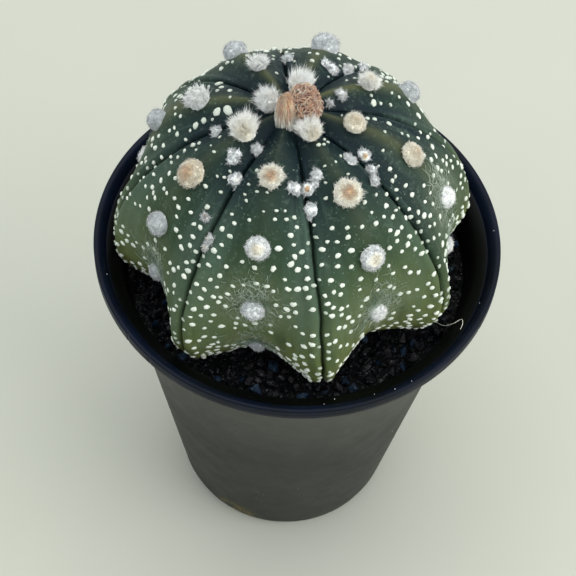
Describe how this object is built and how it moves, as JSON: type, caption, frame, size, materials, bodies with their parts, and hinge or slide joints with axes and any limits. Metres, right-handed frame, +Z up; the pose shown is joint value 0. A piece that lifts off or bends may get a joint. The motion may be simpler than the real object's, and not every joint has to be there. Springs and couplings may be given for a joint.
{
  "type": "potted star cactus",
  "caption": "Domed ribbed star cactus with woolly areoles and white flecks, in a small round dark plastic nursery pot filled with dark grit.",
  "frame": {"origin": "middle of the pot's underside, on the surface that the pot stands on", "axes": "+Z up along the pot's axis, -Y towards the side that the picture is taken from, +X to its right"},
  "size_m": [0.075, 0.075, 0.1148],
  "materials": {
    "pot_plastic": "dull blue-black moulded plastic, glossier on the lip, slightly dusty",
    "potting_mix": "dark crumbly mineral potting mix",
    "grit": "angular black and brown-grey grains with a few dark blue ones",
    "cactus_skin": "waxy dark blue-green skin, paler yellow-green towards the base",
    "wool": "matted cream, white and tan plant wool"
  },
  "bodies": {
    "root": {"pot": "pot_plastic", "potting_mix": "potting_mix", "top_grit": "grit", "cactus_body": "cactus_skin", "crown_wool": "wool"}
  },
  "joints": []
}
